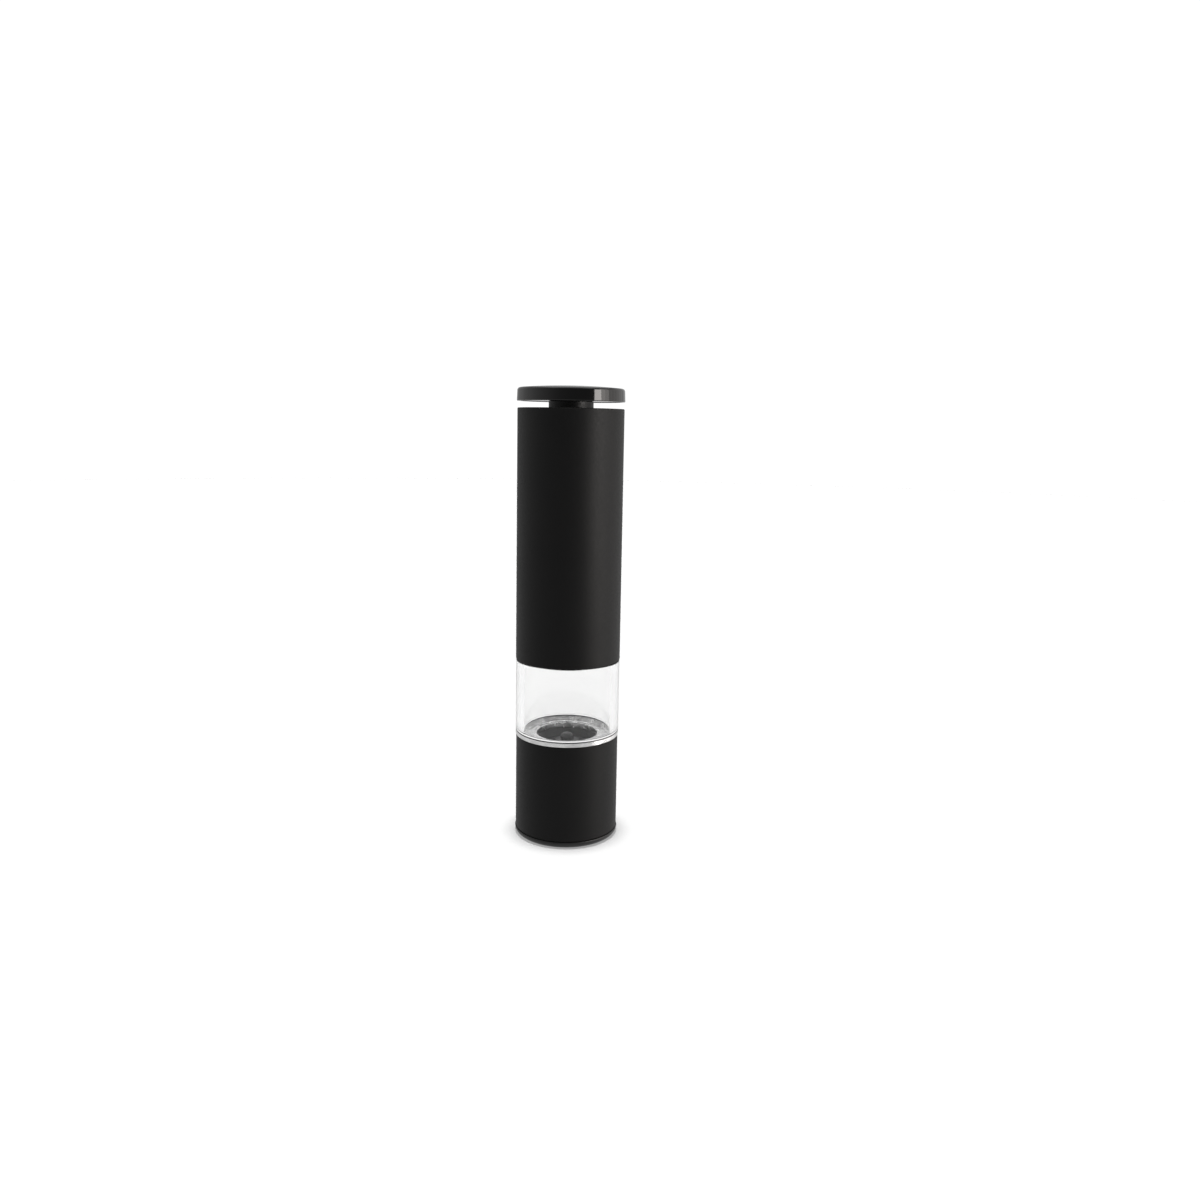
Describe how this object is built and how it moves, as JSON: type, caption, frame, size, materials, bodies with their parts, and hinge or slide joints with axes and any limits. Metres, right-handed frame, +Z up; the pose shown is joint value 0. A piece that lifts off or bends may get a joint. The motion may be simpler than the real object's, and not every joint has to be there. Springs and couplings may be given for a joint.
{
  "type": "pepper mill",
  "caption": "Slim cylindrical pepper mill with a lift-off refill lid, a tall grip sleeve, a clear level window and a turning base with a dust cap.",
  "frame": {"origin": "centre of the foot ring under the dust cap, on the table", "axes": "+Z up along the mill's axis; the mill is round, so +X and +Y are free, and +X points through one window of the outlet spider"},
  "size_m": [0.0506, 0.0506, 0.2158],
  "materials": {
    "soft_touch_black": "soft-touch matt coating",
    "gloss_black": "polished",
    "clear_acrylic": "clear, polished",
    "satin_aluminium": "satin",
    "black_plastic": "moulded",
    "ceramic": "sintered",
    "steel": "bright",
    "brass": "machined",
    "silicone": "matt",
    "acetal": "machined"
  },
  "bodies": {
    "cap": {"dust_cap": "black_plastic", "cap_ring": "silicone"},
    "base": {"base_shell": "soft_touch_black", "outlet_spider": "black_plastic", "spider_screw_1": "steel", "spider_screw_2": "steel", "spider_screw_3": "steel", "upper_washer": "acetal", "lower_washer": "acetal", "spring_washer": "steel", "rotor_spring": "steel", "dial_washer": "steel"},
    "dial": {"adjuster_dial": "black_plastic", "dial_insert": "brass"},
    "rotor": {"rotor_cone": "ceramic", "spindle": "steel", "rotor_nut": "black_plastic"},
    "body": {"floor_ring": "satin_aluminium", "grinder_housing": "black_plastic", "housing_screw_1": "steel", "housing_screw_2": "steel", "housing_screw_3": "steel", "stator_ring": "ceramic", "feed_funnel": "black_plastic", "chamber_gasket": "silicone", "clear_chamber": "clear_acrylic", "sleeve": "soft_touch_black", "top_plate": "black_plastic", "top_plate_seal": "silicone"},
    "lid": {"lid_cap": "gloss_black", "lid_underplate": "gloss_black", "lid_stopper": "black_plastic", "stopper_seal": "silicone", "lid_screw": "steel"}
  },
  "joints": [
    {"name": "base_lift", "type": "slide", "parent": "cap", "child": "base", "axis": [0, 0, 1], "range_m": [0, 0.03]},
    {"name": "body_turn", "type": "hinge", "parent": "base", "child": "body", "pos_m": [0, 0, 0.0413], "axis": [0, 0, 1], "continuous": true},
    {"name": "lid_lift", "type": "slide", "parent": "body", "child": "lid", "axis": [0, 0, 1], "range_m": [0, 0.035]},
    {"name": "dial_turn", "type": "hinge", "parent": "base", "child": "dial", "pos_m": [0, 0, 0.0128], "axis": [0, 0, 1], "range_deg": [-270, 270]},
    {"name": "rotor_shift", "type": "slide", "parent": "base", "child": "rotor", "axis": [0, 0, 1], "range_m": [-0.0008, 0.0008], "deforming": ["rotor_spring"]}
  ],
  "couplings": [
    {"joint": "rotor_shift", "follows": "dial_turn", "m_per_rad": -0.00015915}
  ]
}
